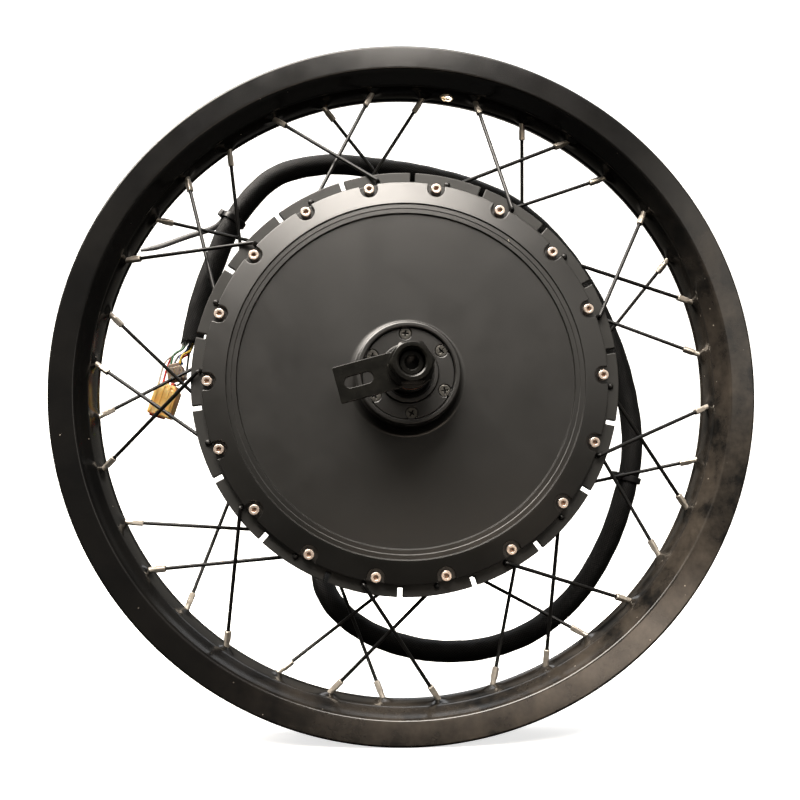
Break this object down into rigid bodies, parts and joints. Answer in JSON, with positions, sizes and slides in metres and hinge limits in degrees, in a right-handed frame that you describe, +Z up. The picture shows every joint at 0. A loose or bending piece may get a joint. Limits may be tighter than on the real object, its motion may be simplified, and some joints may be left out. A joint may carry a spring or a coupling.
{
  "type": "hub motor wheel",
  "caption": "Spoked motorcycle-type wheel with a direct-drive hub motor, hollow threaded axle, torque arm and sleeved cable with connectors.",
  "frame": {"origin": "centre of the wheel, on the axle line, midway between the rim flanges", "axes": "the axle lies along Y, the near side with the torque arm faces -Y, +Z is up with the wheel standing"},
  "size_m": [0.4898, 0.2985, 0.4898],
  "materials": {
    "black_steel": "black oxide steel, slightly oily",
    "spacer_steel": "blackened turned steel",
    "key_steel": "bright drawn steel",
    "carrier_alloy": "cast alloy, as machined",
    "core_steel": "stacked electrical steel, lacquered",
    "insulator": "pressed insulation paper",
    "copper_wire": "enamelled copper wire",
    "board": "green solder mask",
    "sensor_black": "moulded sensor bodies",
    "lead_jacket": "silicone insulated leads",
    "bearing_steel": "ground bearing steel",
    "cage_brass": "riveted cage",
    "copper": "copper washer",
    "relief_rubber": "moulded rubber boot",
    "sleeve": "braided black nylon sleeve",
    "leads": "thin insulated wires in several colours",
    "tie_nylon": "black nylon",
    "amber_plastic": "translucent amber nylon",
    "brown_plastic": "translucent smoky nylon",
    "shell_black": "satin black coat",
    "magnet": "nickel plated magnets",
    "cover_black": "satin black coat, fine grain",
    "bolt_steel": "plated socket head bolts",
    "screw_steel": "plated countersunk screws",
    "seal_rubber": "shaft seal rubber",
    "spoke_black": "gloss black coated spokes",
    "nipple_nickel": "nickel plated nipples",
    "rim_black": "gloss black coat"
  },
  "bodies": {
    "axle_side": {"axle": "black_steel", "carrier_key": "key_steel", "stator_carrier": "carrier_alloy", "stator_core": "core_steel", "end_insulators": "insulator", "windings": "copper_wire", "hall_board": "board", "hall_sensors": "sensor_black", "lead_bundle": "lead_jacket", "bearing_inner_near": "bearing_steel", "bearing_inner_far": "bearing_steel", "spacer_near": "spacer_steel", "spacer_far": "spacer_steel", "copper_washer": "copper", "torque_arm": "black_steel", "washer_near": "black_steel", "axle_nut_near": "black_steel", "washer_far": "black_steel", "axle_nut_far": "black_steel", "strain_relief": "relief_rubber", "cable_sleeve": "sleeve", "cable_leads": "leads", "cable_ties": "tie_nylon", "connector_amber": "amber_plastic", "connector_brown": "brown_plastic"},
    "wheel": {"rotor_shell": "shell_black", "magnet_yoke": "core_steel", "magnets": "magnet", "cover_near": "cover_black", "cover_far": "cover_black", "cover_bolts_near": "bolt_steel", "cover_bolts_far": "bolt_steel", "bearing_outer_near": "bearing_steel", "bearing_outer_far": "bearing_steel", "cap_near": "cover_black", "cap_screws": "screw_steel", "seal_near": "seal_rubber", "seal_far": "seal_rubber", "spokes_near_outer": "spoke_black", "spokes_near_inner": "spoke_black", "spokes_far_outer": "spoke_black", "spokes_far_inner": "spoke_black", "nipples_near": "nipple_nickel", "nipples_far": "nipple_nickel", "rim": "rim_black"},
    "balls_near_set": {"balls_near": "bearing_steel", "cage_near": "cage_brass"},
    "balls_far_set": {"balls_far": "bearing_steel", "cage_far": "cage_brass"}
  },
  "joints": [
    {"name": "wheel_spin", "type": "hinge", "parent": "axle_side", "child": "wheel", "pos_m": [0, 0, 0], "axis": [0, 1, 0], "continuous": true},
    {"name": "near_balls_roll", "type": "hinge", "parent": "axle_side", "child": "balls_near_set", "pos_m": [0, 0, 0], "axis": [0, 1, 0], "continuous": true},
    {"name": "far_balls_roll", "type": "hinge", "parent": "axle_side", "child": "balls_far_set", "pos_m": [0, 0, 0], "axis": [0, 1, 0], "continuous": true}
  ],
  "couplings": [
    {"joint": "near_balls_roll", "follows": "wheel_spin", "ratio": 0.6026},
    {"joint": "far_balls_roll", "follows": "wheel_spin", "ratio": 0.6026}
  ]
}
